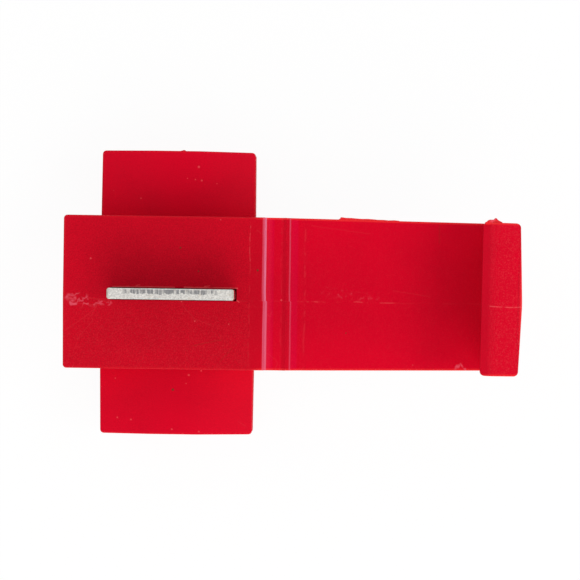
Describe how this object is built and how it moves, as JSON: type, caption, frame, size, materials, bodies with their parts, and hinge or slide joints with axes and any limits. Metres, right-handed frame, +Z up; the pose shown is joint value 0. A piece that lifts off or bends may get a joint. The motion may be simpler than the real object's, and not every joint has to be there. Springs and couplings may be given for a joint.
{
  "type": "quick splice tap connector",
  "caption": "Moulded quick splice: a side-entry channel for the run wire, a blind channel for the tap wire, a slotted contact pressed across both, and a hinged lid with a latching claw.",
  "frame": {"origin": "on the run channel's axis, at the middle of the block", "axes": "+Y along both wire channels, the tap channel's mouth towards -Y; +X from the block towards the open lid; +Z up, the side that the contact is pressed in from"},
  "size_m": [0.0316, 0.0202, 0.0148],
  "materials": {
    "red_moulding": "satin moulded red polypropylene with a fine grain",
    "tinned_contact": "tin-plated sheet with a sheared upper edge"
  },
  "bodies": {
    "housing": {"housing": "red_moulding", "hinge_web": "red_moulding"},
    "lid": {"lid": "red_moulding"},
    "contact": {"contact": "tinned_contact"}
  },
  "joints": [
    {"name": "lid_fold", "type": "hinge", "parent": "housing", "child": "lid", "pos_m": [0.00513, 0, 0.00623], "axis": [0, -1, 0], "range_deg": [0, 180], "deforming": ["hinge_web"]},
    {"name": "contact_press", "type": "slide", "parent": "housing", "child": "contact", "axis": [0, 0, 1], "range_m": [-0.00365, 0]}
  ],
  "couplings": [
    {"joint": "lid_fold", "follows": "contact_press", "rad_per_m": -860.7}
  ]
}
